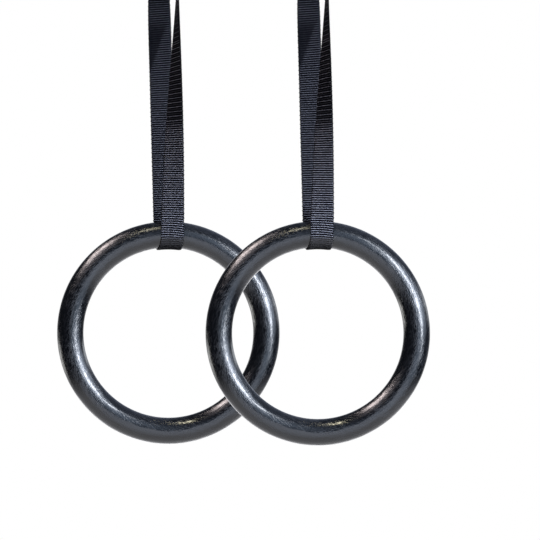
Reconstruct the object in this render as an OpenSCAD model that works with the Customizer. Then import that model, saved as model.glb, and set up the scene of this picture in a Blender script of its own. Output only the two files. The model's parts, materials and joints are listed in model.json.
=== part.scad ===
// Pair of gymnastics rings. Each side is a hollow moulded ring hung in one loop of ribbed
// webbing that is closed by a spring-loaded cam buckle and hangs over a round bar.
// +Z is up. The origin is the centre of the bar inside the left loop, and both bars run along Y.

/* [Ring] */
// Outside diameter of the ring
ring_od = 236; // [200:1:260]
// Diameter of the grip tube
tube_d = 28; // [24:0.5:32]
// Wall thickness of the moulded half-shells
shell_wall = 4.5; // [3.5:0.25:6]
// Stiffening webs inside each half-shell
web_count = 12; // [6:1:24]

/* [Webbing] */
// Width of the webbing
webbing_w = 25; // [20:1:30]
// Thickness of the webbing
webbing_t = 1.8; // [1.4:0.1:2.4]
// Twist of the front leg where it leaves the ring, in degrees
front_twist_start = 8; // [0:1:20]
// Twist of the front leg per millimetre of height, in degrees
front_twist_rate = 0.325; // [0.2:0.005:0.4]
// Twist of the back leg at the top of its lower length, in degrees
back_twist_lower = 8; // [0:1:30]

/* [Hanging] */
// Diameter of the bar that the loops hang over
bar_d = 28; // [25:1:34]
// Height of the bar's centre above the top of the ring
loop_height = 490; // [470:5:520]
// Sideways distance between the two rings
pair_x = 158; // [140:1:400]
// Distance by which the right ring hangs in front of the left one
pair_y = 200; // [190:5:400]

/* [Buckle] */
// Height of the cam pin above the top of the ring
buckle_height = 374; // [366:1:384]
// Thickness of the buckle's steel plate
plate_t = 1.5; // [1.2:0.1:2]
// Length of the free tail below the buckle's cam pin
tail_length = 128; // [90:1:128]

/* [Hidden] */
$fn = 96;

// gap between neighbouring lengths of the one webbing, running clearance and pin fit
cut_gap = 0.4;
run_gap = 0.1;
fit_gap = 0.02;

// ring
tube_r = tube_d / 2;
core_r = ring_od / 2 - tube_r;
bore_r = tube_r - shell_wall;
ring_top_z = -loop_height;
tube_z = ring_top_z - tube_r;
ring_z = tube_z - core_r;
tongue_w = 1.5;
tongue_h = 1.8;
tongue_inset = tube_r - shell_wall / 2;
web_t = 1.6;

// webbing: radii at the ring and the bar, and the heights where its lengths meet
bend_r = tube_r + run_gap + webbing_t / 2;
wrap_r = bar_d / 2 + webbing_t / 2;
wrap_half_angle = 58;
wrap_gap_angle = 1.4;
leg_top_z = -2;
bend_lap = 1;
ends_low_z = tube_z + 5;
ends_high_z = ring_top_z + 25;
lower_high_z = ring_top_z + 190;
front_flat_z = ring_top_z + (90 - front_twist_start) / front_twist_rate;

// buckle, in its own axes: x points out from the webbing, y along the pin, z up from the pin
buckle_x = -13.2;
pin_z = ring_top_z + buckle_height;
pin_out = 8;
pin_r = 2;
head_t = 1;
cheek_in = webbing_w / 2 + 0.75;
cheek_out = cheek_in + plate_t;
cheek_r = 6.5;
floor_x = -(webbing_t / 2 + run_gap);
floor_high = 14;
frame_low = -20;
end_bar_z = 22;
end_bar_r = 2.5;
cam_half_w = cheek_in - 0.35;
cam_barrel_r = 5.4;
tooth_count = 4;
tooth_pitch = 1.1;
tooth_depth = 0.7;
tab_angle = -65;
tab_length = 26;
tab_t = 2;
tab_w = 18;
pocket_w = 4.4;
pocket_r = 4.4;
coil_r = 3.2;
wire_r = 0.45;
wire_sides = 8;
coil_turns = 3;
coil_steps = 56;
tang = 1.5;

// sewn fold and free tail
ply_step = webbing_t + 0.1;
fold_start = 12;
fold_end = 44;
thread_d = 0.5;
stitch_count = 8;
stitch_half_w = 9;
exit_r = 11;
exit_z = 5;
exit_gap = 1;
arc_steps = 18;

// ends of the straight lines that the two legs follow
front_foot = [4.4, -bend_r, tube_z];
front_head = [wrap_r, 0, 0];
back_foot = [-3.4, bend_r, tube_z];
back_head = [buckle_x, 0, pin_z + frame_low];

black = [0.06, 0.06, 0.07];
webbing_grey = [0.13, 0.14, 0.17];
thread_grey = [0.2, 0.2, 0.22];
steel = [0.72, 0.73, 0.75];
zinc = [0.55, 0.56, 0.58];

// ---- shared shapes ----

// strip of webbing from a low point to a high point; its face turns from angle_low to angle_high
module webbing_leg(low, high, angle_low, angle_high) {
    run = high - low;
    length = norm(run);
    heading = atan2(run[1], run[0]);
    steps = max(1, ceil(abs(angle_high - angle_low) / 3));
    color(webbing_grey)
        translate(low)
            rotate([0, acos(run[2] / length), heading])
                rotate([0, 0, angle_low - heading])
                    if (angle_low == angle_high)
                        translate([-webbing_w / 2, -webbing_t / 2, 0])
                            cube([webbing_w, webbing_t, length]);
                    else
                        linear_extrude(height = length, twist = angle_low - angle_high,
                                slices = steps, $fn = 16)
                            square([webbing_w, webbing_t], center = true);
}

// point on the line from a to b at height z
function on_line(a, b, z) = a + (b - a) * (z - a[2]) / (b[2] - a[2]);

// flat outline in the x-z plane, drawn out along the Y axis
module along_y(width, shift = 0) {
    translate([0, shift, 0])
        rotate([90, 0, 0])
            linear_extrude(height = width, center = true)
                children();
}

// round rod along the Y axis
module rod(radius, width) {
    rotate([90, 0, 0])
        cylinder(r = radius, h = width, center = true);
}

// arc of webbing round the Y axis, between two angles measured from +X
module webbing_arc(radius, from_angle, to_angle) {
    color(webbing_grey)
        rotate([90, 0, 0])
            rotate([0, 0, from_angle])
                rotate_extrude(angle = to_angle - from_angle)
                    translate([radius - webbing_t / 2, -webbing_w / 2])
                        square([webbing_t, webbing_w]);
}

// unit vector square to the line from a to b, on its left
function left_of(a, b) = [a[1] - b[1], b[0] - a[0]] / norm(b - a);

// points of a line moved sideways by gap, with mitred corners
function beside(points, gap) = [for (i = [0 : len(points) - 1])
    let (before = left_of(points[max(i - 1, 0)], points[max(i, 1)]),
         after = left_of(points[min(i, len(points) - 2)], points[min(i + 1, len(points) - 1)]),
         middle = before + after)
    points[i] + middle * 2 * gap / (middle * middle)];

// points round an arc in the x-z plane
function arc_points(centre, radius, from_angle, to_angle) = [for (i = [0 : arc_steps])
    let (a = from_angle + (to_angle - from_angle) * i / arc_steps)
    centre + radius * [cos(a), sin(a)]];

// strip of webbing whose side view follows the points [x, z]
module webbing_path(points) {
    left = beside(points, webbing_t / 2);
    right = beside(points, -webbing_t / 2);
    color(webbing_grey)
        along_y(webbing_w)
            polygon(concat(left, [for (i = [len(right) - 1 : -1 : 0]) right[i]]));
}

// puts a shape drawn in the buckle's own axes in its place on the back leg
module at_buckle() {
    translate([buckle_x, 0, pin_z])
        mirror([1, 0, 0])
            children();
}

// ---- webbing ----

// twist of the front leg at height z
function front_twist(z) = -front_twist_start - front_twist_rate * (z - ring_top_z);

module strap_bar_wrap() {
    webbing_arc(wrap_r, 90 - wrap_half_angle, 90 + wrap_half_angle);
}

// the two bends between the bar and the legs
module strap_bar_bends() {
    webbing_arc(wrap_r, 0, 90 - wrap_half_angle - wrap_gap_angle);
    webbing_arc(wrap_r, 90 + wrap_half_angle + wrap_gap_angle, 180);
}

module strap_front_upper() {
    turn_end = on_line(front_foot, front_head, front_flat_z);
    color(webbing_grey)
        union() {
            webbing_leg(turn_end, on_line(front_foot, front_head, leg_top_z), -90, -90);
            webbing_leg(on_line(front_foot, front_head, lower_high_z), turn_end,
                front_twist(lower_high_z), -90);
        }
}

module strap_front_lower() {
    webbing_leg(on_line(front_foot, front_head, ends_high_z + cut_gap),
        on_line(front_foot, front_head, lower_high_z - cut_gap),
        front_twist(ends_high_z), front_twist(lower_high_z));
}

module strap_back_upper() {
    webbing_leg(on_line(back_foot, back_head, lower_high_z), back_head, -back_twist_lower, -90);
}

module strap_back_lower() {
    webbing_leg(on_line(back_foot, back_head, ends_high_z + cut_gap),
        on_line(back_foot, back_head, lower_high_z - cut_gap), 0, -back_twist_lower);
}

// the short lengths of both legs just above the tube
module strap_ring_ends() {
    webbing_leg(on_line(front_foot, front_head, ends_low_z),
        on_line(front_foot, front_head, ends_high_z), 0, front_twist(ends_high_z));
    webbing_leg(on_line(back_foot, back_head, ends_low_z),
        on_line(back_foot, back_head, ends_high_z), 0, 0);
}

// U-shaped bend that carries the ring; it follows the tube's own curve
module strap_ring_bend() {
    half_span = asin(webbing_w / 2 / core_r);
    feet = [front_foot, back_foot];
    straight = ends_low_z - cut_gap - tube_z + bend_lap;
    color(webbing_grey)
        union() {
            translate([(front_foot[0] + back_foot[0]) / 2, 0, ring_z])
                rotate([90, 0, 0])
                    rotate([0, 0, 90 - half_span])
                        rotate_extrude(angle = 2 * half_span)
                            difference() {
                                translate([core_r, 0]) circle(r = bend_r + webbing_t / 2);
                                translate([core_r, 0]) circle(r = bend_r - webbing_t / 2);
                                translate([core_r, -tube_d]) square([tube_d, 2 * tube_d]);
                            }
            for (foot = feet)
                translate([foot[0] - webbing_w / 2, foot[1] - webbing_t / 2, tube_z - bend_lap])
                    cube([webbing_w, webbing_t, straight]);
        }
}

// length from the bar down to the end bar, round it and back up to the stitching
module strap_sewn_leg() {
    eye_r = end_bar_r + run_gap + webbing_t / 2;
    ply_x = eye_r - ply_step;
    touch_angle = atan2(fold_start, ply_x) + acos(eye_r / norm([ply_x, fold_start]));
    at_buckle()
        webbing_path(concat(
            [[ply_x, end_bar_z + fold_end], [ply_x, end_bar_z + fold_start]],
            arc_points([0, end_bar_z], eye_r, touch_angle, 360),
            [[eye_r, end_bar_z + fold_end + 4], [wrap_r + buckle_x, leg_top_z - pin_z]]));
}

// sewn box of thread on the outer face of the fold
module strap_stitching() {
    face_x = end_bar_r + run_gap + webbing_t + thread_d / 2 + 0.15;
    box_low = end_bar_z + fold_start + 2;
    box_high = end_bar_z + fold_end - 2;
    pitch = (box_high - box_low) / stitch_count;
    color(thread_grey)
        at_buckle()
            for (i = [0 : stitch_count - 1], side = [-1, 1]) {
                translate([face_x, side * stitch_half_w, box_low + (i + 0.5) * pitch])
                    cube([thread_d, thread_d, pitch * 0.7], center = true);
                translate([face_x, (i + 0.5 - stitch_count / 2) * 2 * stitch_half_w / stitch_count,
                        (box_low + box_high) / 2 + side * (box_high - box_low) / 2])
                    cube([thread_d, 2 * stitch_half_w / stitch_count * 0.7, thread_d], center = true);
            }
}

// length under the cam and out over the top of the buckle
module strap_tail_exit() {
    at_buckle()
        webbing_path(concat([[0, frame_low + exit_gap]],
            arc_points([exit_r, exit_z], exit_r, 180, 0), [[2 * exit_r, exit_z - 2]]));
}

module strap_tail() {
    at_buckle()
        webbing_path([[2 * exit_r, -tail_length], [2 * exit_r, exit_z - 2 - cut_gap]]);
}

// ---- buckle ----

// rod with a flattened head outside each cheek
module riveted_pin(radius, head_r) {
    color(steel)
        union() {
            rod(radius, 2 * cheek_out);
            for (side = [-1, 1])
                translate([0, side * (cheek_out + head_t / 2 + fit_gap), 0])
                    rod(head_r, head_t);
            rod(radius - 0.3, 2 * (cheek_out + head_t));
        }
}

// stamped channel: a floor plate under the webbing and a cheek on each side
module buckle_frame() {
    floor_back = floor_x - plate_t;
    color(steel)
        at_buckle()
            difference() {
                union() {
                    along_y(2 * cheek_out)
                        translate([floor_back, frame_low])
                            square([plate_t, floor_high - frame_low]);
                    for (side = [-1, 1])
                        along_y(plate_t, side * (cheek_in + plate_t / 2)) {
                            polygon([[floor_back, frame_low], [pin_out - 4, frame_low],
                                [pin_out + cheek_r, -3], [pin_out + cheek_r - 1, 4],
                                [4, end_bar_z + 2], [-4, end_bar_z + 2], [floor_back, floor_high]]);
                            translate([pin_out, 0]) circle(r = cheek_r);
                            translate([0, end_bar_z]) circle(r = end_bar_r + 2.5);
                        }
                }
                translate([pin_out, 0, 0]) rod(pin_r + fit_gap, 3 * cheek_out);
                translate([0, 0, end_bar_z]) rod(end_bar_r + fit_gap, 3 * cheek_out);
                translate([pin_out - coil_r, cheek_in + plate_t / 2, 0]) rod(wire_r + 0.1, 2 * plate_t);
            }
}

module buckle_end_bar() {
    at_buckle()
        translate([0, 0, end_bar_z])
            riveted_pin(end_bar_r, end_bar_r + 1);
}

module buckle_cam_pin() {
    at_buckle()
        translate([pin_out, 0, 0])
            riveted_pin(pin_r, pin_r + 1.2);
}

// toothed cam and its thumb tab; the teeth press the webbing against the floor plate
module buckle_cam() {
    teeth_x = webbing_t / 2 + run_gap;
    color(zinc)
        at_buckle()
            difference() {
                union() {
                    along_y(2 * cam_half_w) {
                        translate([pin_out, 0]) circle(r = cam_barrel_r);
                        polygon(concat([[pin_out - 3.6, -3.8], [teeth_x + 1.2, -0.4]],
                            [for (i = [0 : tooth_count - 1], p = [0, 1])
                                [teeth_x + p * tooth_depth, 0.5 + (i + p * 0.5) * tooth_pitch]],
                            [[teeth_x + 1.6, 5.4], [pin_out - 3, 6.3], [pin_out, cam_barrel_r]]));
                    }
                    along_y(tab_w)
                        translate([pin_out, 0])
                            rotate(tab_angle) {
                                translate([pin_r + 1, -tab_t / 2])
                                    square([tab_length - pin_r - 1, tab_t]);
                                translate([tab_length, 0]) circle(d = tab_t + 1);
                            }
                }
                translate([pin_out, 0, 0]) rod(pin_r + 0.05, 3 * cheek_out);
                translate([pin_out, cam_half_w, 0]) rod(pocket_r, 2 * pocket_w);
                translate([pin_out + coil_r, cam_half_w - pocket_w, 0]) rod(wire_r + 0.1, 6);
            }
}

// centre line of the spring: a straight tang, the coil, and a second tang
function spring_path(low, high) = concat(
    [[pin_out + coil_r, low - tang, 0], [pin_out + coil_r, low - tang / 2, 0]],
    [for (i = [0 : coil_steps]) let (a = i / coil_steps * (coil_turns + 0.5) * 360)
        [pin_out + coil_r * cos(a), low + (high - low) * i / coil_steps, coil_r * sin(a)]],
    [[pin_out - coil_r, high + tang / 2, 0], [pin_out - coil_r, high + tang, 0]]);

// torsion spring on the pin; its ends sit in a hole in the cam and a hole in the cheek
module buckle_spring() {
    path = spring_path(cam_half_w - pocket_w + 2 * wire_r, cheek_in - 2 * wire_r);
    last = len(path) - 1;
    points = [for (i = [0 : last])
        let (ahead = path[min(i + 1, last)] - path[max(i - 1, 0)],
             along = ahead / norm(ahead),
             out_line = [path[i][0] - pin_out, 0, path[i][2]],
             outward = out_line / norm(out_line),
             across = cross(along, outward) / norm(cross(along, outward)))
        for (k = [0 : wire_sides - 1]) let (a = 360 * k / wire_sides)
            path[i] + wire_r * (cos(a) * outward + sin(a) * across)];
    skin = [for (i = [0 : last - 1], k = [0 : wire_sides - 1])
        let (a = i * wire_sides + k, b = i * wire_sides + (k + 1) % wire_sides)
        [a, b, b + wire_sides, a + wire_sides]];
    caps = [[for (k = [wire_sides - 1 : -1 : 0]) k],
        [for (k = [0 : wire_sides - 1]) last * wire_sides + k]];
    color(steel)
        at_buckle()
            polyhedron(points, concat(skin, caps), convexity = 6);
}

// ---- ring ----

// half of the tube's section, on the side of the parting plane that side (1 or -1) points to
module shell_section(side) {
    difference() {
        translate([core_r, 0]) circle(r = tube_r);
        translate([core_r, 0]) circle(r = bore_r);
        translate([core_r - tube_d, side > 0 ? -2 * tube_d : 0]) square(2 * tube_d);
    }
}

// two concentric bands on the parting plane, one in each wall
module tongue_section(width, height) {
    for (wall = [-1, 1])
        translate([core_r + wall * tongue_inset - width / 2, -height])
            square([width, height + 0.01]);
}

// thin plates across the inside of one shell
module shell_webs(side) {
    web_span = web_t / core_r * 180 / PI;
    for (i = [0 : web_count - 1])
        rotate([0, 0, (i + 0.5) * 360 / web_count - web_span / 2])
            rotate_extrude(angle = web_span)
                difference() {
                    translate([core_r, 0]) circle(r = bore_r + 0.5);
                    translate([core_r - tube_d, side > 0 ? 0.2 - 2 * tube_d : -0.2])
                        square(2 * tube_d);
                }
}

// puts a ring drawn round the Z axis in its place, facing along the Y axis
module at_ring() {
    translate([0, 0, ring_z])
        rotate([90, 0, 0])
            children();
}

module ring_front_shell() {
    color(black)
        at_ring()
            union() {
                rotate_extrude() {
                    shell_section(1);
                    tongue_section(tongue_w, tongue_h);
                }
                shell_webs(1);
            }
}

module ring_back_shell() {
    color(black)
        at_ring()
            union() {
                rotate_extrude()
                    difference() {
                        shell_section(-1);
                        tongue_section(tongue_w + run_gap, tongue_h + run_gap);
                    }
                shell_webs(-1);
            }
}

// the right set is the same as the left one, beside it and nearer the front
module at_right() {
    translate([pair_x, -pair_y, 0])
        children();
}

strap_bar_wrap();  // left_strap_bar_wrap
strap_bar_bends();  // left_strap_bar_bends
strap_sewn_leg();  // left_strap_sewn_leg
strap_stitching();  // left_strap_stitching
strap_front_upper();  // left_strap_front_upper
strap_back_upper();  // left_strap_back_upper
strap_front_lower();  // left_strap_front_lower
strap_back_lower();  // left_strap_back_lower
strap_ring_ends();  // left_strap_ring_ends
strap_ring_bend();  // left_strap_ring_bend
strap_tail_exit();  // left_strap_tail_exit
strap_tail();  // left_strap_tail
buckle_frame();  // left_buckle_frame
buckle_end_bar();  // left_buckle_end_bar
buckle_cam();  // left_buckle_cam
buckle_cam_pin();  // left_buckle_cam_pin
buckle_spring();  // left_buckle_spring
ring_front_shell();  // left_ring_front_shell
ring_back_shell();  // left_ring_back_shell
at_right() strap_bar_wrap();  // right_strap_bar_wrap
at_right() strap_bar_bends();  // right_strap_bar_bends
at_right() strap_sewn_leg();  // right_strap_sewn_leg
at_right() strap_stitching();  // right_strap_stitching
at_right() strap_front_upper();  // right_strap_front_upper
at_right() strap_back_upper();  // right_strap_back_upper
at_right() strap_front_lower();  // right_strap_front_lower
at_right() strap_back_lower();  // right_strap_back_lower
at_right() strap_ring_ends();  // right_strap_ring_ends
at_right() strap_ring_bend();  // right_strap_ring_bend
at_right() strap_tail_exit();  // right_strap_tail_exit
at_right() strap_tail();  // right_strap_tail
at_right() buckle_frame();  // right_buckle_frame
at_right() buckle_end_bar();  // right_buckle_end_bar
at_right() buckle_cam();  // right_buckle_cam
at_right() buckle_cam_pin();  // right_buckle_cam_pin
at_right() buckle_spring();  // right_buckle_spring
at_right() ring_front_shell();  // right_ring_front_shell
at_right() ring_back_shell();  // right_ring_back_shell
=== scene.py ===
"""Looks of a pair of gymnastics rings: worn glossy moulded rings, ribbed webbing straps and cam buckles."""

import json
import math

import bpy
import numpy as np
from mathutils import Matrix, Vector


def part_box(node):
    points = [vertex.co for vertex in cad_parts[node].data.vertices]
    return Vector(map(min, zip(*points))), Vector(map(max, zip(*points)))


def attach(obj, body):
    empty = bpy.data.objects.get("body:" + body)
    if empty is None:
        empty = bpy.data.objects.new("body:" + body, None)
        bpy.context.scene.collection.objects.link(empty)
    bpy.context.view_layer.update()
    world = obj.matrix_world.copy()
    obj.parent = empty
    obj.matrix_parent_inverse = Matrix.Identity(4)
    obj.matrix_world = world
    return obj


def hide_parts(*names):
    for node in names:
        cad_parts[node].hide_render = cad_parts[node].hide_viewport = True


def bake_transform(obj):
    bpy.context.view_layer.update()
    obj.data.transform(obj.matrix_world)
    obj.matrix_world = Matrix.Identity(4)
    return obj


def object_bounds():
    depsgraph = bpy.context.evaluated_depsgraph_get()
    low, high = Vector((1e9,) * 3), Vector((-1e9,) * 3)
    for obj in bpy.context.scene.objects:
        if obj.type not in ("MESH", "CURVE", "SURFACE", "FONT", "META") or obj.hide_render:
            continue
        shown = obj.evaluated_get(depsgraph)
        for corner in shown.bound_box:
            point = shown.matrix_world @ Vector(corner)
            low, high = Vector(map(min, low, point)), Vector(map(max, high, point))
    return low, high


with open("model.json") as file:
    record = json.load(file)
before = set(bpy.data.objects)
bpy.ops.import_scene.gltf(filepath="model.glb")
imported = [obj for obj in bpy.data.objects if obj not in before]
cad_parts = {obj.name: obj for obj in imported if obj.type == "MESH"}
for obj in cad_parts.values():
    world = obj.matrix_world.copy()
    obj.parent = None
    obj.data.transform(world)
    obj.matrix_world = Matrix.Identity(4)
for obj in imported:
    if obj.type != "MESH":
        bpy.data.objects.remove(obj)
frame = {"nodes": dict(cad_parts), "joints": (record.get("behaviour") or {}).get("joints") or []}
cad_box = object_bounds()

MM = 0.001
SIDES = ("left", "right")
Y_AXIS = np.array([0.0, 1.0, 0.0])
QUARTER = math.pi / 2
FULL_TURN = 2 * math.pi


# ---------------------------------------------------------------- places, read from the frame

def joint(name):
    return next(j for j in frame["joints"] if j["name"] == name)


class Places:
    """Sizes and places of the left set, in metres. The right set is the same, moved by its own bar loop."""

    def __init__(self):
        low, high = {}, {}
        for node in frame["nodes"]:
            side, _, name = node.partition("_")
            if side == "left":
                low[name], high[name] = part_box(node)
        self.low, self.high = low, high
        self.ring = np.array(joint("left_spin")["pos_m"])
        self.tube = np.array(joint("left_tilt")["pos_m"])
        self.core_r = self.tube[2] - self.ring[2]
        self.tube_r = high["ring_front_shell"].z - self.tube[2]
        self.web_w = high["strap_bar_wrap"].y - low["strap_bar_wrap"].y
        self.web_t = high["strap_tail"].x - low["strap_tail"].x
        self.bend_r = high["strap_ring_bend"].y - self.web_t / 2
        self.wrap_r = high["strap_bar_bends"].x - self.web_t / 2
        self.front_x = high["strap_ring_bend"].x - self.web_w / 2
        self.back_x = low["strap_ring_bend"].x + self.web_w / 2
        self.web_x = high["strap_tail_exit"].x - self.web_t / 2
        self.tail_x = (high["strap_tail"].x + low["strap_tail"].x) / 2
        self.ring_top = self.tube[2] + self.tube_r
        self.buckle_low = low["buckle_frame"].z
        self.exit_top = high["strap_tail_exit"].z - self.web_t / 2
        self.end_bar_z = (high["buckle_end_bar"].z + low["buckle_end_bar"].z) / 2
        self.fold_top = high["strap_stitching"].z
        self.tail_low = low["strap_tail"].z


P = Places()
OFFSET = {side: np.array(joint(f"{side}_swing")["pos_m"]) for side in SIDES}


# ---------------------------------------------------------------- webbing

RIB_PITCH = 2.39 * MM
RIB_ROWS = 8                      # rows of points to each rib
RIB_DEPTH = 0.36 * MM             # how far the valleys lie below the ribs
SCALLOP = 0.7 * MM                # how far the edge steps in at a valley
LOW_RIB = 0.12                    # share of its height that every second rib lacks
RIB_ROUND = 0.7                   # below 1, the ribs' crowns are broader than the valleys
EDGE_SQUARE = 14                  # the higher, the squarer the webbing's section
YARN_PITCH = 0.62 * MM
SELVEDGE_SHADE = (1.3 * MM, 0.4 * MM)   # distances from the edge between which the webbing's edges get painted shade
SHORT_RIB = 0.4                   # share of the scallop by which every second rib is short of the edge
CUT_LOW = 16 * RIB_PITCH          # height above the tube's centre where the lower legs start
CUT_HIGH = 85 * RIB_PITCH         # and where they end
CUT_BAR = 5 * RIB_PITCH           # depth below the bar's centre where the legs start

# the turns and leans of the two legs; heights are above the ring's top
FRONT_TWIST = math.radians(8)     # twist of the front leg at the ring's top
TWIST_RATE = math.radians(0.325) / MM
TWIST_IN = 38 * MM                # length over which this twist sets in, from the tube's centre up
TWIST_EASE = math.radians(4)      # softness of its end, where the leg stands edge-on
BACK_TWIST = 185 * MM             # height where the back leg starts to turn towards the buckle
SKEW_END = 200 * MM               # height where the lean of the ribs starts to fade
SKEW_FADE = 90 * MM
HUG_HEIGHT = 26 * MM              # height above the tube's centre up to which a leg follows its curve

# shade and light on the legs, which the materials use
SHADE_LOW = 0.45                  # how much the front leg darkens the back one, just above the ring
SHADE_HIGH = 0.72                 # and where the lower legs end
SHADOW_SHADE = 0.95               # how dark the shadow of the turned front leg is on the back one
SHADOW_FOOT = 156 * MM            # height where this shadow starts, at the left edge
SHADOW_SLOPE = 0.38               # how much wider it gets with height
SHADOW_EDGE = 2 * MM              # width of its soft edge
SHADOW_TOP = 200 * MM             # height where it starts to fade
SHADOW_FADE = 20 * MM
GRAZE_START = math.radians(37)    # twist at which the window starts to graze the front leg
GRAZE_SPAN = math.radians(7)
RUBBED_HALF = 0.36                # half the share of the U round the tube that the ring has rubbed
RUBBED_EDGE = 0.14
PLY_GAP = 0.1 * MM                # gap between the two plies of the sewn fold
FOLD_START = 12 * MM              # height above the end bar where the plies lie together
FOLD_BEND = 6 * MM                # height above the stitching where the leg bends towards the bar
FOLD_END = 2 * MM                 # and where the folded ply ends
STITCH_PITCH = 3.0 * MM
STITCH_GAP = 0.12                 # share of the pitch that is free at either end of a stitch
WIRE_R = 0.45 * MM                # the cam's spring: wire, straight ends and turns
TANG = 1.5 * MM
SPRING_TURNS = 3.5
PARTING_EDGE = 0.006              # angle on the tube from the parting plane to the edge of a shell
FACE_STEP = 40.0                  # added to "across" on a strip's second face, so the faces differ


def smooth(x):
    x = np.clip(x, 0.0, 1.0)
    return x * x * (3 - 2 * x)


def front_centre(z):
    """Centre of the front leg at height z: a straight line from the ring to the bar."""
    share = (z - P.tube[2]) / -P.tube[2]
    return np.stack([P.front_x + (P.wrap_r - P.front_x) * share, -P.bend_r * (1 - share), z], -1)


def back_centre(z):
    """Centre of the back leg at height z: a straight line to the buckle, then upright."""
    share = np.clip((z - P.tube[2]) / (P.buckle_low - P.tube[2]), 0, 1)
    return np.stack([P.back_x + (P.web_x - P.back_x) * share, P.bend_r * (1 - share), z], -1)


def front_twist(z):
    height = z - P.ring_top
    rising = (FRONT_TWIST + TWIST_RATE * height) * smooth((height + P.tube_r) / TWIST_IN)
    return QUARTER - TWIST_EASE * np.log1p(np.exp((QUARTER - rising) / TWIST_EASE))


def back_twist(z):
    start = P.ring_top + BACK_TWIST
    return QUARTER * smooth((z - start) / (P.buckle_low - start))


def skew(z, most, start, length):
    """Lean of the ribs, as a slope: the twist drags the weft out of square, from start upwards."""
    height = z - P.ring_top
    return most * smooth((height - start) / length) * (1 - smooth((height - SKEW_END) / SKEW_FADE))


def front_skew(z):
    return skew(z, most=0.13, start=40 * MM, length=150 * MM)


def back_skew(z):
    return skew(z, most=0.05, start=90 * MM, length=90 * MM)


def section_steps():
    """Places across the webbing, from -1 to 1, closer together at the edges."""
    half = [0.0, 0.17, 0.34, 0.51, 0.67, 0.81, 0.91, 0.965, 0.992, 1.0]
    return np.array([-x for x in half[:0:-1]] + half)


def section(phase):
    """Closed outline of the webbing for each row: across (n, k) and thickness (n, k), in metres.

    Every second rib lies a little lower and ends a little short of the edge, as the weft turns there.
    """
    rise = rib_rise(phase)[:, None]
    second = (np.floor(phase + 1e-6) % 2)[:, None]
    u = section_steps()
    around = np.concatenate([u, u[-2:0:-1]])
    face = np.concatenate([np.ones(len(u)), -np.ones(len(u) - 2)])
    crown = np.sqrt(np.clip(1 - np.abs(around) ** EDGE_SQUARE, 0, 1))
    across = around[None, :] * (P.web_w / 2 - SCALLOP * (1 - rise * (1 - SHORT_RIB * second)))
    thick = face * crown * (P.web_t / 2 - RIB_DEPTH * (1 - rise * (1 - LOW_RIB * second)))
    return across, thick


def rib_rows(start, end):
    """Distances along the webbing from start to end, with RIB_ROWS rows to each rib."""
    ribs = max(1, round(abs(end - start) / RIB_PITCH))
    return np.linspace(start, end, ribs * RIB_ROWS + 1), np.linspace(0, ribs, ribs * RIB_ROWS + 1)


def rib_rise(phase):
    """1 on a rib's crown and 0 in the valley between two ribs."""
    return np.abs(np.sin(np.pi * phase)) ** RIB_ROUND


def unit(v):
    return v / np.linalg.norm(v, axis=-1, keepdims=True)


def lay_flat(centre, across_way, along_way, across, thick, skew):
    """Points of a strip: centre line, width direction and travel direction for each row."""
    across_way, along_way = unit(across_way), unit(along_way)
    facing = unit(np.cross(along_way, across_way))
    return (centre[:, None, :] + across[..., None] * across_way[:, None, :]
            + thick[..., None] * facing[:, None, :]
            + (across * skew[:, None])[..., None] * along_way[:, None, :])


def hug_ring(points):
    """Lets the strip sag sideways with the curve of the tube, close to the ring only."""
    x = np.clip(points[..., 0], -P.core_r, P.core_r)
    drop = P.core_r - np.sqrt(P.core_r ** 2 - x ** 2)
    near = 1 - smooth((points[..., 2] - P.tube[2]) / HUG_HEIGHT)
    moved = points.copy()
    moved[..., 2] -= drop * near
    return moved


def leg(z_from, z_to, centre, twist, lean):
    """One length of a leg: its points, places across and rib phases. The strip may run up or down."""
    z, phase = rib_rows(z_from, z_to)
    across, thick = section(phase)
    line = centre(z)
    along = np.gradient(line, axis=0)
    turn = twist(z)
    across_way = np.stack([np.cos(turn), -np.sin(turn), np.zeros_like(turn)], -1)
    across_way = across_way - along * (np.sum(across_way * along, -1) / np.sum(along * along, -1))[:, None]
    travel = 1 if z_to > z_from else -1
    return hug_ring(lay_flat(line, across_way, along, across, thick, lean(z) * travel)), across, phase


def front_leg(z_from, z_to):
    return leg(z_from, z_to, front_centre, front_twist, front_skew)


def back_leg(z_from, z_to):
    return leg(z_from, z_to, back_centre, back_twist, back_skew)


def back_shade(points, across):
    """Light that the front leg takes from the back one: more upwards, most in the turned leg's shadow."""
    height = points[..., 2] - P.ring_top
    share = np.clip(height / (CUT_HIGH - P.tube_r), 0, 1)
    shade = SHADE_LOW + (SHADE_HIGH - SHADE_LOW) * share
    inside = SHADOW_SLOPE * (height - SHADOW_FOOT) - (across + P.web_w / 2)
    shadow = smooth(inside / SHADOW_EDGE + 0.5) * (1 - smooth((height - SHADOW_TOP) / SHADOW_FADE))
    return (shade + (SHADOW_SHADE - shade) * shadow) * front_face()


def front_face():
    """1 for the points of a back leg's section that face forwards, 0 for those that face backwards."""
    steps = len(section_steps())
    return (np.arange(2 * steps - 2) >= steps).astype(float)


def ring_bend_points():
    """The U round the tube: it follows the torus, and drifts sideways from one leg to the other."""
    spots, phase = rib_rows(0, math.pi * P.bend_r)
    across, thick = section(phase)
    share = (spots / spots[-1])[:, None]
    turn = share * math.pi - QUARTER
    drift = P.front_x + (P.back_x - P.front_x) * smooth(share)
    reach = P.bend_r + thick
    out = P.core_r - reach * np.cos(turn)
    lean = np.arcsin((drift + across) / out)
    points = np.stack([out * np.sin(lean), reach * np.sin(turn), out * np.cos(lean)], -1)
    return points + P.ring, across, phase


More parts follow.
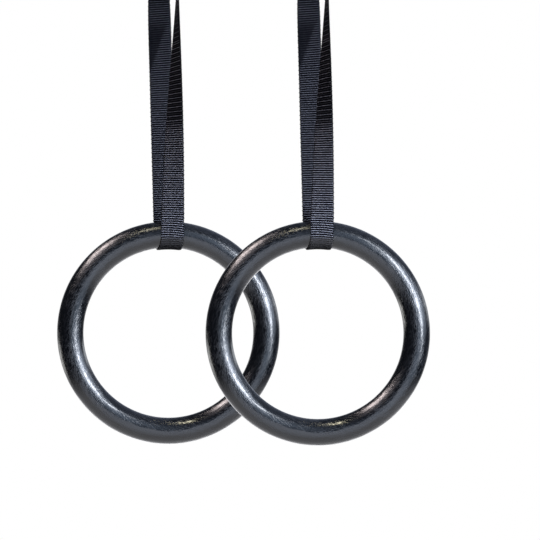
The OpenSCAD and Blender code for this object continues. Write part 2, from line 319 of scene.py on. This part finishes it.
def path_points(corners, width_way):
    """A strip along a smooth line of corners [x, z], with its width along Y."""
    corners = np.array(corners)
    lengths = np.concatenate([[0], np.cumsum(np.linalg.norm(np.diff(corners, axis=0), axis=1))])
    spots, phase = rib_rows(0, lengths[-1])
    x = np.interp(spots, lengths, corners[:, 0])
    z = np.interp(spots, lengths, corners[:, 1])
    line = np.stack([x, np.zeros_like(x), z], -1)
    across, thick = section(phase)
    across_way = np.tile(Y_AXIS * width_way, (len(spots), 1))
    points = lay_flat(line, across_way, np.gradient(line, axis=0), across, thick, np.zeros(len(spots)))
    return points, across, phase


def arc(centre, radius, from_angle, to_angle, steps=24):
    """Corners [x, z] round an arc; angles in degrees from +X."""
    return [(centre[0] + radius * math.cos(a), centre[1] + radius * math.sin(a))
            for a in np.radians(np.linspace(from_angle, to_angle, steps + 1))]


# ---------------------------------------------------------------- pieces

def new_piece(name, verts, faces, material):
    mesh = bpy.data.meshes.new(name)
    mesh.from_pydata(verts, [], faces)
    mesh.shade_smooth()
    mesh.materials.append(material)
    piece = bpy.data.objects.new(name, mesh)
    bpy.context.scene.collection.objects.link(piece)
    return piece


def store(mesh, name, values):
    attribute = mesh.attributes.new(name, "FLOAT", "POINT")
    attribute.data.foreach_set("value", np.asarray(values, np.float32))


def tube_faces(rows, sides):
    """Faces of a closed tube of rows by sides points, with an end cap on either end."""
    grid = np.arange(rows * sides).reshape(rows, sides)
    following = np.roll(grid, -1, axis=1)
    quads = np.stack([grid[:-1], following[:-1], following[1:], grid[1:]], -1).reshape(-1, 4)
    return quads.tolist() + [grid[0, ::-1].tolist(), grid[-1].tolist()]


def strip_mesh(name, side, parts, material, rubbed=0.0, shade=0.0, grazed=0.0):
    """Builds one closed strip from consecutive parts, each (points, across, phase).

    The last three are one value, or a value for each row or point: how much the ring has rubbed and
    dusted the weave, how much the leg in front darkens it, and how far it has turned away from the
    window, so that only every second rib still catches the light.
    """
    points = np.concatenate([parts[0][0]] + [part[0][1:] for part in parts[1:]])
    across = np.concatenate([parts[0][1]] + [part[1][1:] for part in parts[1:]])
    phase = parts[0][2]
    for part in parts[1:]:
        phase = np.concatenate([phase, phase[-1] + part[2][1:]])
    rows, sides = points.shape[:2]
    verts = (points + OFFSET[side]).reshape(-1, 3).tolist()
    piece = new_piece(f"{side}_webbing_{name}", verts, tube_faces(rows, sides), material)
    second_face = np.arange(sides) >= len(section_steps())
    store(piece.data, "rib", np.repeat(rib_rise(phase), sides))
    for key, value in (("rubbed", rubbed), ("shade", shade), ("grazed", grazed)):
        by_row = value if np.ndim(value) == 2 else np.reshape(value, (-1, 1))
        store(piece.data, key, np.broadcast_to(by_row, (rows, sides)).reshape(-1))
    store(piece.data, "along", np.repeat(phase, sides))
    store(piece.data, "across", (across / MM + second_face * FACE_STEP).reshape(-1))
    return piece


def ride_strip(piece, side, bodies, start, end, *replaced):
    """Bakes a strip's place into its mesh and hides the CAD nodes that it stands for."""
    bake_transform(piece)
    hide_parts(*[f"{side}_strap_{node}" for node in replaced])


def no_shadow(piece):
    """The front leg hangs close in front of the back one, which the wide window still lights evenly."""
    piece.visible_shadow = False
    piece.visible_diffuse = False


def build_bar_loop(side, cloth):
    front_corner = (front_centre(np.array(-CUT_BAR))[0], -CUT_BAR)
    back_corner = (-P.wrap_r, -CUT_BAR)
    over_bar = path_points([front_corner] + arc((0, 0), P.wrap_r, 0, 180) + [back_corner], -1)
    piece = strip_mesh("over_bar", side, [over_bar], cloth)
    ride_strip(piece, side, ("bar_loops", "hanger"), P.wrap_r / 2, -CUT_BAR / 5, "bar_wrap", "bar_bends")


def build_front_leg(side, cloth):
    low, high = P.tube[2] + CUT_LOW, P.tube[2] + CUT_HIGH
    upper = strip_mesh("front_upper", side, [front_leg(-CUT_BAR, high)], cloth, grazed=1.0)
    ride_strip(upper, side, ("hanger", "carrier"), -CUT_BAR, high, "front_upper")
    turned = smooth((front_twist(rib_rows(high, low)[0]) - GRAZE_START) / GRAZE_SPAN)
    lower = strip_mesh("front_lower", side, [front_leg(high, low)], cloth, grazed=turned)
    ride_strip(lower, side, ("carrier", "yoke"), high, low, "front_lower")
    no_shadow(upper)
    no_shadow(lower)


def build_ring_bend(side, cloth):
    """The ends of both legs and the U between them, whose ribs the ring has rubbed."""
    tube_z, low = P.tube[2], P.tube[2] + CUT_LOW
    bend = [front_leg(low, tube_z), ring_bend_points(), back_leg(tube_z, low)]
    front, under, back = [len(part[0]) - (i > 0) for i, part in enumerate(bend)]
    row = np.arange(front + under + back)
    from_middle = np.abs(row - front - under / 2) / under
    rubbed = 1 - smooth((from_middle - RUBBED_HALF) / RUBBED_EDGE)
    # the front leg's shade sets in over the last three ribs of the U
    behind = SHADE_LOW * smooth((row - front - under) / (3 * RIB_ROWS) + 1)
    piece = strip_mesh("ring_bend", side, bend, cloth, rubbed, behind[:, None] * front_face())
    ride_strip(piece, side, ("yoke", "cradle"), tube_z + P.tube_r, tube_z - P.tube_r / 3,
               "ring_bend", "ring_ends")


def build_back_leg(side, cloth):
    low, high = P.tube[2] + CUT_LOW, P.tube[2] + CUT_HIGH
    lower = back_leg(low, high)
    piece = strip_mesh("back_lower", side, [lower], cloth, shade=back_shade(*lower[:2]))
    ride_strip(piece, side, ("carrier", "yoke"), high, low, "back_lower")
    upper = back_leg(high, P.buckle_low)
    piece = strip_mesh("back_upper", side, [upper], cloth, shade=back_shade(*upper[:2]))
    ride_strip(piece, side, ("hanger", "carrier"), P.buckle_low, high, "back_upper")


def build_tail(side, cloth):
    """The webbing under the cam, its bend over the top of it, and the free tail."""
    exit_r = (P.web_x - P.tail_x) / 2
    exit_x, exit_z = P.web_x - exit_r, P.exit_top - exit_r
    exit_end = exit_z - RIB_PITCH
    through = path_points([(P.web_x, P.buckle_low), (P.web_x, exit_z)]
                          + arc((exit_x, exit_z), exit_r, 0, 180)[1:] + [(P.tail_x, exit_end)], -1)
    piece = strip_mesh("under_cam", side, [through], cloth)
    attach(piece, f"{side}_hanger")
    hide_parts(f"{side}_strap_tail_exit")
    tail = path_points([(P.tail_x, exit_end), (P.tail_x, P.tail_low)], 1)
    piece = strip_mesh("tail", side, [tail], cloth)
    ride_strip(piece, side, ("hanger", "tail"), exit_end, P.tail_low, "tail")


def build_sewn_fold(side, cloth, thread):
    """The leg from the bar, folded round the buckle's end bar and sewn to itself."""
    eye_r = P.end_bar_z - P.low["strap_sewn_leg"].z - P.web_t / 2
    main_x = P.web_x - eye_r
    ply_x = main_x + P.web_t + PLY_GAP
    fold = path_points([(-P.wrap_r, -CUT_BAR), (main_x, P.fold_top + FOLD_BEND), (main_x, P.end_bar_z)]
                       + arc((P.web_x, P.end_bar_z), eye_r, 180, 360)[1:]
                       + [(ply_x, P.end_bar_z + FOLD_START), (ply_x, P.fold_top + FOLD_END)], 1)
    piece = strip_mesh("sewn_fold", side, [fold], cloth)
    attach(piece, f"{side}_hanger")
    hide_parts(f"{side}_strap_sewn_leg")
    build_stitching(side, main_x - P.web_t / 2, ply_x + P.web_t / 2, thread)


# ---------------------------------------------------------------- thread and wire

def round_angles(sides):
    return np.linspace(0, FULL_TURN, sides, endpoint=False)


def round_bar(line, outward, radius):
    """Points and faces of a closed round bar along a line; radius is given for each row and side."""
    rows, sides = radius.shape
    along_way = unit(np.gradient(line, axis=0))
    side_way = unit(np.cross(along_way, outward))
    up_way = np.cross(side_way, along_way)
    turn = round_angles(sides)
    points = (line[:, None, :] + (radius * np.cos(turn))[..., None] * side_way[:, None, :]
              + (radius * np.sin(turn))[..., None] * up_way[:, None, :])
    return points.reshape(-1, 3), tube_faces(rows, sides)


def stitch(start, end, outward, thread_r):
    """One stitch: a two-ply thread that rises from the webbing, lies on it and dips in again."""
    share = np.linspace(0, 1, 13)[:, None]
    line = start + share * (end - start)
    line = line + outward * thread_r * (2.2 * np.sin(math.pi * share) ** 0.5 - 1.6)
    ply_turns = np.linalg.norm(end - start) / (5 * thread_r)
    plies = np.cos(2 * round_angles(10) - FULL_TURN * ply_turns * share)
    return round_bar(line, outward, thread_r * (0.88 + 0.12 * plies))


def build_stitching(side, outer_x, inner_x, material):
    """A sewn box with a cross in it, through both plies of the fold and so seen on both faces."""
    low, high = P.low["strap_stitching"], P.high["strap_stitching"]
    thread_r = (high.x - low.x) / 2
    ys, zs = (low.y + thread_r, high.y - thread_r), (low.z + thread_r, high.z - thread_r)
    corners = [np.array([ys[right], zs[up]]) for right, up in ((0, 0), (1, 0), (1, 1), (0, 1))]
    lines = [(0, 1), (1, 2), (2, 3), (3, 0), (0, 2), (1, 3)]
    verts, faces = [], []
    for face_x, way in ((outer_x, -1.0), (inner_x, 1.0)):
        for a, b in lines:
            step = corners[b] - corners[a]
            count = round(np.linalg.norm(step) / STITCH_PITCH)
            for i in range(count):
                ends = [corners[a] + step * (i + part) / count for part in (STITCH_GAP, 1 - STITCH_GAP)]
                start, end = [np.array([face_x, *point]) for point in ends]
                points, quads = stitch(start, end, np.array([way, 0.0, 0.0]), thread_r)
                faces += [[v + len(verts) for v in quad] for quad in quads]
                verts += (points + OFFSET[side]).tolist()
    piece = new_piece(f"{side}_strap_stitching_thread", verts, faces, material)
    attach(piece, f"{side}_hanger")
    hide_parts(f"{side}_strap_stitching")


def build_spring(side, material):
    """Torsion spring on the cam's pin: a tang in the cam, the coil, and a tang in the cheek.

    On the buckle one end turns with the cam and the other stays in the cheek; this wire keeps one shape.
    """
    low, high = P.low["buckle_spring"], P.high["buckle_spring"]
    coil_r = (high.x - low.x) / 2 - WIRE_R
    share = np.linspace(0, 1, 127)
    whole = SPRING_TURNS * FULL_TURN
    turn = np.concatenate([[0.0, 0.0], share * whole, [whole, whole]])
    coil_y = low.y + TANG + share * (high.y - low.y - 2 * TANG)
    outward = np.stack([-np.cos(turn), np.zeros_like(turn), np.sin(turn)], -1)
    line = np.array(joint("left_cam_lever")["pos_m"]) + coil_r * outward
    line[:, 1] = np.concatenate([[low.y, low.y + TANG / 2], coil_y, [high.y - TANG / 2, high.y]])
    verts, faces = round_bar(line, outward, np.full((len(line), 12), WIRE_R))
    verts = (verts + OFFSET[side]).tolist()
    piece = new_piece(f"{side}_buckle_spring_wire", verts, faces, material)
    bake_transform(piece)
    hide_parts(f"{side}_buckle_spring")


# ---------------------------------------------------------------- ring

def build_ring_half(side, half, material):
    """One moulded half of the tube, front (half = -1) or back (1), with a fine parting line."""
    around, along = 49, 720
    turn = np.linspace(0, FULL_TURN, along, endpoint=False)
    lift = np.linspace(PARTING_EDGE, math.pi - PARTING_EDGE, around)
    tt, ll = np.meshgrid(turn, lift, indexing="ij")
    out = P.core_r + P.tube_r * np.cos(ll)
    points = np.stack([out * np.sin(tt), half * P.tube_r * np.sin(ll), out * np.cos(tt)], -1)
    verts = (points + P.ring + OFFSET[side]).reshape(-1, 3)
    grid = np.arange(along * around).reshape(along, around)
    following = np.roll(grid, -1, axis=0)
    quads = np.stack([grid[:, :-1], grid[:, 1:], following[:, 1:], following[:, :-1]], -1).reshape(-1, 4)
    if half > 0:
        quads = quads[:, ::-1]
    shell = f"{side}_ring_{'front' if half < 0 else 'back'}_shell"
    piece = new_piece(f"{shell}_skin", verts.tolist(), quads.tolist(), material)
    store(piece.data, "ring_turn", (tt * P.core_r / MM).reshape(-1))
    store(piece.data, "tube_turn", (ll * half * P.tube_r / MM).reshape(-1))
    piece.visible_glossy = False
    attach(piece, f"{side}_ring")
    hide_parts(shell)


# ---------------------------------------------------------------- materials

class Nodes:
    """Short calls for building a material's node tree."""

    def __init__(self, tree):
        self.tree = tree

    def new(self, kind, inputs=None, **settings):
        node = self.tree.nodes.new(kind)
        for key, value in settings.items():
            setattr(node, key, value)
        for key, value in (inputs or {}).items():
            if isinstance(value, bpy.types.NodeSocket):
                self.tree.links.new(value, node.inputs[key])
            else:
                node.inputs[key].default_value = value
        return node

    def math(self, operation, a, b=0.0, clamp=False):
        node = self.new("ShaderNodeMath", {0: a, 1: b}, operation=operation, use_clamp=clamp)
        return node.outputs[0]

    def attribute(self, name):
        return self.new("ShaderNodeAttribute", attribute_name=name).outputs["Fac"]

    def mix_colour(self, share, a, b):
        node = self.new("ShaderNodeMix", {"Factor": share}, data_type="RGBA")
        for key, value in ((6, a), (7, b)):
            if isinstance(value, bpy.types.NodeSocket):
                self.tree.links.new(value, node.inputs[key])
            else:
                node.inputs[key].default_value = (*value, 1.0)
        return node.outputs[2]

    def ramp(self, value, low, high, to_low=0.0, to_high=1.0):
        node = self.new("ShaderNodeMapRange", {"Value": value, "From Min": low, "From Max": high,
                                               "To Min": to_low, "To Max": to_high})
        return node.outputs[0]

    def noise(self, vector, scale, detail=2.0, rough=0.5):
        return self.new("ShaderNodeTexNoise", {"Vector": vector, "Scale": scale, "Detail": detail,
                                               "Roughness": rough}).outputs["Fac"]

    def vector(self, x, y, z=0.0):
        return self.new("ShaderNodeCombineXYZ", {0: x, 1: y, 2: z}).outputs[0]

    def bump(self, height, distance, strength=1.0, normal=None):
        inputs = {"Height": height, "Distance": distance, "Strength": strength}
        if normal is not None:
            inputs["Normal"] = normal
        return self.new("ShaderNodeBump", inputs).outputs[0]


def new_material(name):
    material = bpy.data.materials.new(name)
    material.use_nodes = True
    material.node_tree.nodes.clear()
    nodes = Nodes(material.node_tree)
    shader = nodes.new("ShaderNodeBsdfPrincipled")
    nodes.new("ShaderNodeOutputMaterial", {"Surface": shader.outputs[0]})
    return material, nodes, shader


def set_input(nodes, shader, **values):
    for key, value in values.items():
        socket = shader.inputs[key.replace("_", " ")]
        if isinstance(value, bpy.types.NodeSocket):
            nodes.tree.links.new(value, socket)
        else:
            socket.default_value = value


def ring_plastic():
    """Near-black plastic, scratched and rubbed along the tube by years of hands."""
    material, n, shader = new_material("ring_plastic")
    along, round_tube = n.attribute("ring_turn"), n.attribute("tube_turn")

    def streaks(length, width, detail=2.0, rough=0.5):
        return n.noise(n.vector(n.math("DIVIDE", along, length), n.math("DIVIDE", round_tube, width)),
                       1.0, detail, rough)

    def scratches(length, width, slant, low, high):
        """Thin dashes that run along the tube, a little askew."""
        askew = n.math("ADD", round_tube, n.math("MULTIPLY", along, slant))
        place = n.vector(n.math("DIVIDE", along, length), n.math("DIVIDE", askew, width), slant * 50)
        return n.ramp(n.noise(place, 1.0, 1.0), low, high)

    worn = n.ramp(streaks(45.0, 12.0), 0.38, 0.6, 0.45, 1.0)
    marks = n.math("MAXIMUM", scratches(6.0, 1.1, 0.27, 0.54, 0.64), scratches(8.0, 1.0, 0.08, 0.57, 0.66))
    marks = n.math("MULTIPLY", n.math("MAXIMUM", marks, scratches(5.0, 1.2, 0.42, 0.57, 0.66)), worn)
    brushed = n.math("MULTIPLY", streaks(10.0, 2.0, 1.0, 0.4), worn)
    normal = n.bump(streaks(34.0, 6.0, 1.0, 0.4), 0.0003, 0.6)
    normal = n.bump(brushed, 0.00022, 1.0, normal)
    normal = n.bump(marks, 0.00005, 1.0, normal)
    colour = n.mix_colour(marks, (0.0022, 0.0025, 0.0032), (0.010, 0.0108, 0.013))
    rough = n.ramp(marks, 0.0, 1.0, 0.09, 0.30)
    set_input(n, shader, Base_Color=colour, Roughness=rough, Normal=normal, IOR=1.55)
    return material


def webbing():
    """Ribbed polyester: fine lengthwise yarns over each rib, with painted light on the crowns and painted
    shade in the valleys.

    The strips carry "across" in mm from their middle, and "along" counted in ribs.
    """
    material, n, shader = new_material("webbing")
    rib, along, across = n.attribute("rib"), n.attribute("along"), n.attribute("across")
    yarn = n.math("SINE", n.math("MULTIPLY", across, FULL_TURN * MM / YARN_PITCH))
    half_step = n.math("MULTIPLY", n.math("FLOOR", along), 0.37)
    beads = n.noise(n.vector(n.math("MULTIPLY", across, 1.4), n.math("ADD", along, half_step)), 1.0, 2.0)
    wear = n.noise(n.vector(n.math("MULTIPLY", across, 0.1), n.math("MULTIPLY", along, 0.12)), 1.0, 3.0)
    patches = n.noise(n.vector(n.math("MULTIPLY", across, 0.3), n.math("MULTIPLY", along, 0.8)), 1.0, 1.0)
    # painted light and shade: the slate colour is painted bright on each rib's crown as light and near
    # black in its valley as shade
    crown = n.math("POWER", rib, 16.0)
    light = n.math("MULTIPLY", crown, n.ramp(beads, 0.25, 0.75, 0.6, 1.0))
    light = n.math("MULTIPLY", light, n.ramp(patches, 0.3, 0.7, 0.7, 1.12))
    light = n.math("MULTIPLY", light, n.math("SUBTRACT", 1.0, n.attribute("shade")))
    other_face = n.math("MULTIPLY", n.math("GREATER_THAN", across, FACE_STEP / 2), FACE_STEP)
    from_middle = n.math("ABSOLUTE", n.math("SUBTRACT", across, other_face))
    inner, outer = [(P.web_w / 2 - depth) / MM for depth in SELVEDGE_SHADE]
    # painted shade along both edges of the webbing
    light = n.math("MULTIPLY", light, n.ramp(from_middle, inner, outer, 1.0, 0.15))
    second_rib = n.math("MODULO", n.math("FLOOR", n.math("ADD", along, 0.001)), 2.0)
    lost = n.math("MULTIPLY", n.attribute("grazed"), n.ramp(second_rib, 0.0, 1.0, 0.42, 0.9))
    light = n.math("MULTIPLY", light, n.math("SUBTRACT", 1.0, lost))
    colour = n.mix_colour(light, (0.003, 0.0033, 0.005), (0.36, 0.374, 0.456))
    colour = n.mix_colour(n.ramp(wear, 0.45, 0.8, 0.0, 0.15), colour, (0.03, 0.03, 0.036))
    colour = n.mix_colour(n.math("MULTIPLY", n.attribute("rubbed"), 0.85), colour, (0.052, 0.049, 0.049))
    height = n.math("ADD", n.math("MULTIPLY", yarn, 0.25), beads)
    normal = n.bump(height, 0.00008, 0.5)
    set_input(n, shader, Base_Color=colour, Roughness=0.5, Normal=normal)
    gloss = n.math("MULTIPLY", n.math("POWER", rib, 8.0), 0.015)
    set_input(n, shader, Specular_IOR_Level=gloss)
    return material


def plated_steel(name, colour, rough):
    """Satin plated metal with brushed lines and small stains."""
    material, n, shader = new_material(name)
    place = n.new("ShaderNodeTexCoord").outputs["Object"]
    stretched = n.new("ShaderNodeMapping", {"Vector": place, "Scale": (900.0, 900.0, 60.0)}).outputs[0]
    lines = n.noise(stretched, 1.0, 3.0, 0.6)
    stains = n.noise(place, 160.0, 3.0)
    tone = n.mix_colour(n.ramp(stains, 0.4, 0.75, 0.0, 0.6), colour, tuple(c * 0.6 for c in colour))
    rounded = n.new("ShaderNodeBevel", {"Radius": 0.35 * MM}, samples=4).outputs[0]
    set_input(n, shader, Base_Color=tone, Metallic=1.0, Normal=n.bump(lines, 0.00005, 0.4, rounded),
              Roughness=n.ramp(lines, 0.3, 0.7, rough - 0.07, rough + 0.1))
    return material


def bonded_thread():
    """Grey polyester thread with a soft shine and a fine lay of fibres."""
    material, n, shader = new_material("thread")
    place = n.new("ShaderNodeTexCoord").outputs["Object"]
    fibres = n.noise(place, 6000.0, 2.0)
    tone = n.mix_colour(fibres, (0.035, 0.037, 0.045), (0.11, 0.115, 0.135))
    set_input(n, shader, Base_Color=tone, Roughness=0.5, Normal=n.bump(fibres, 0.0001, 0.5),
              Sheen_Weight=0.3)
    return material


# ---------------------------------------------------------------- stage, light and camera

FLOOR_DROP = 0.35                 # floor's depth below the lowest point of the rings
FLOOR_HALF = 6.0                  # half its width
FRAME_WIDTH = 0.570               # width of the view at the rings
LENS = 1389.0                     # focal length and sensor width, in mm
SENSOR = 36.0
RING_FROM_EDGE = 0.1772           # the left ring's middle, from the left edge of the view
RING_BELOW_MIDDLE = 0.0665        # and below the middle of the view

LAMPS = [
    # direction, half widths in degrees away from and round the rings' axis, strength, colour
    ((0.64, -0.71, 0.31), (5, 24), 26.0, (0.93, 0.97, 1.04)),      # bright bar of the large window, right
    ((0.64, -0.71, 0.31), (17, 14), 11.0, (0.85, 0.92, 1.06)),     # the rest of that window
    ((0.60, -0.76, 0.25), (30, 32), 2.2, (0.66, 0.83, 1.08)),      # its soft surroundings
    ((0.88, -0.35, 0.32), (24, 19), 3.2, (0.76, 0.87, 1.06)),
    ((-0.66, -0.05, 0.75), (14, 9), 18.0, (1.0, 0.87, 0.85)),     # warm wall light, upper left
    ((-0.62, -0.45, 0.64), (24, 12), 1.6, (1.0, 0.90, 0.95)),
    ((-0.17, -0.44, 0.88), (6, 3), 26.0, (1.0, 0.93, 0.68)),        # small yellow lamp overhead
    ((0.78, 0.60, 0.20), (16, 6), 2.6, (0.90, 0.95, 1.0)),         # pale cards behind, both sides
    ((-0.80, 0.56, -0.20), (16, 7), 3.4, (1.0, 1.0, 0.97)),
]

KEY_LAMPS = [
    # the lamps that light the matt webbing: the same window, and a faint fill from the front
    ((0.69, -0.66, 0.30), (13, 12), 34.0, (0.94, 0.96, 1.0)),
    ((0.10, -0.97, 0.20), (30, 30), 0.12, (0.85, 0.92, 1.0)),
    ((-0.60, -0.30, 0.74), (16, 12), 1.6, (1.0, 0.80, 0.66)),
    ((0.45, 0.86, 0.25), (35, 30), 3.0, (0.95, 0.97, 1.0)),        # the room behind, unseen from the front
]


def world_light():
    """White backdrop for the camera; for reflections, a dim studio with soft lamps round the rings."""
    world = bpy.data.worlds.new("studio")
    bpy.context.scene.world = world
    world.use_nodes = True
    world.node_tree.nodes.clear()
    n = Nodes(world.node_tree)
    way = n.new("ShaderNodeTexCoord").outputs["Generated"]
    parts = n.new("ShaderNodeSeparateXYZ", {0: way})
    right, deep, up = parts.outputs[0], parts.outputs[1], parts.outputs[2]

    def dot(vector):
        node = n.new("ShaderNodeVectorMath", {0: way, 1: tuple(vector)}, operation="DOT_PRODUCT")
        return node.outputs["Value"]

    def glow(direction, widths):
        """Soft-edged ellipse round a direction: 1 in the middle, a half at the half widths."""
        aim = unit(np.array(direction))
        across_way = unit(np.cross(aim, Y_AXIS))
        out_way = np.cross(across_way, aim)
        forward = n.math("MAXIMUM", dot(aim), 0.001)
        a = n.math("DIVIDE", dot(out_way / math.tan(math.radians(widths[0]))), forward)
        b = n.math("DIVIDE", dot(across_way / math.tan(math.radians(widths[1]))), forward)
        reach = n.math("ADD", n.math("MULTIPLY", a, a), n.math("MULTIPLY", b, b))
        fall = n.math("MULTIPLY", n.math("POWER", n.math("MINIMUM", reach, 30.0), 1.5), -math.log(2))
        return n.math("MULTIPLY", n.math("EXPONENT", fall), n.math("GREATER_THAN", dot(aim), 0.0))

    def add(total, share, colour, strength=1.0):
        light = tuple(c * strength for c in colour)
        scaled = n.new("ShaderNodeVectorMath", {0: light, "Scale": share}, operation="SCALE")
        return n.new("ShaderNodeVectorMath", {0: total, 1: scaled.outputs[0]}, operation="ADD").outputs[0]

    level = n.math("SQRT", n.math("ADD", n.math("MULTIPLY", right, right), n.math("MULTIPLY", up, up)))
    steep = n.math("DIVIDE", up, n.math("MAXIMUM", level, 0.001))
    floor = n.ramp(steep, -0.38, -0.62)
    front = n.ramp(deep, -0.55, -1.0)
    above = n.math("MULTIPLY", n.ramp(steep, 0.0, 0.7), n.ramp(right, -0.25, 0.1))
    behind = n.math("MULTIPLY", n.ramp(deep, 0.72, 0.95), n.ramp(up, 0.0, 0.35, 1.0, 0.3))
    total = n.vector(0.03, 0.035, 0.05)
    total = add(total, floor, (1.0, 1.0, 1.04), 1.15)
    total = add(total, n.math("MULTIPLY", floor, front), (0.75, 0.9, 1.2), 0.9)
    total = add(total, above, (0.8, 0.95, 1.3), 0.3)
    total = add(total, behind, (1.0, 1.0, 1.0), 0.8)
    for direction, widths, strength, colour in LAMPS:
        total = add(total, glow(direction, widths), colour, strength)
    key = n.vector(0.012, 0.014, 0.018)
    for direction, widths, strength, colour in KEY_LAMPS:
        key = add(key, glow(direction, widths), colour, strength)
    path = n.new("ShaderNodeLightPath").outputs
    seen = n.mix_colour(path["Is Diffuse Ray"], total, key)
    seen = n.mix_colour(path["Is Camera Ray"], seen, (1.0, 1.0, 1.0))
    background = n.new("ShaderNodeBackground", {"Color": seen, "Strength": 1.0})
    n.new("ShaderNodeOutputWorld", {"Surface": background.outputs[0]})


def build_stage():
    """A plain pale floor well below the rings."""
    floor_z = cad_box[0].z - FLOOR_DROP
    corners = [(-1, -1), (1, -1), (1, 1), (-1, 1)]
    mesh = bpy.data.meshes.new("floor")
    mesh.from_pydata([(x * FLOOR_HALF, y * FLOOR_HALF, floor_z) for x, y in corners], [], [(0, 1, 2, 3)])
    material, n, shader = new_material("floor")
    set_input(n, shader, Base_Color=(0.9, 0.9, 0.9, 1.0), Roughness=0.9,
              Emission_Color=(1.0, 1.0, 1.0, 1.0), Emission_Strength=0.55)
    mesh.materials.append(material)
    floor = bpy.data.objects.new("floor", mesh)
    bpy.context.scene.collection.objects.link(floor)
    floor.visible_glossy = False
    floor.visible_diffuse = False


def build_camera():
    """Long lens square to the rings, framed on the rings with the straps running out of the top."""
    camera = bpy.data.cameras.new("camera")
    camera.sensor_width = SENSOR
    camera.lens = LENS
    distance = FRAME_WIDTH * LENS / SENSOR
    camera.clip_end = distance * 3
    holder = bpy.data.objects.new("camera", camera)
    bpy.context.scene.collection.objects.link(holder)
    middle_y = (OFFSET["left"][1] + OFFSET["right"][1]) / 2
    holder.location = (FRAME_WIDTH / 2 - RING_FROM_EDGE, middle_y - distance, P.ring[2] + RING_BELOW_MIDDLE)
    holder.rotation_euler = (QUARTER, 0, 0)
    bpy.context.scene.camera = holder


# ---------------------------------------------------------------- build

cloth = webbing()
plastic = ring_plastic()
thread = bonded_thread()
spring_steel = plated_steel("spring_wire", (0.25, 0.25, 0.26), 0.38)
pin_steel = plated_steel("buckle_pin", (0.38, 0.385, 0.395), 0.36)
buckle_metals = {
    "buckle_frame": plated_steel("buckle_plate", (0.30, 0.305, 0.315), 0.42),
    "buckle_cam": plated_steel("buckle_cam", (0.21, 0.215, 0.225), 0.48),
    "buckle_end_bar": pin_steel,
    "buckle_cam_pin": pin_steel,
}

for side in SIDES:
    build_bar_loop(side, cloth)
    build_front_leg(side, cloth)
    build_ring_bend(side, cloth)
    build_back_leg(side, cloth)
    build_tail(side, cloth)
    build_sewn_fold(side, cloth, thread)
    build_spring(side, spring_steel)
    for half in (-1, 1):
        build_ring_half(side, half, plastic)
    for part, metal in buckle_metals.items():
        mesh = frame["nodes"][f"{side}_{part}"].data
        mesh.materials.clear()
        mesh.materials.append(metal)

world_light()
build_stage()
build_camera()
bpy.context.scene.view_settings.view_transform = "Standard"
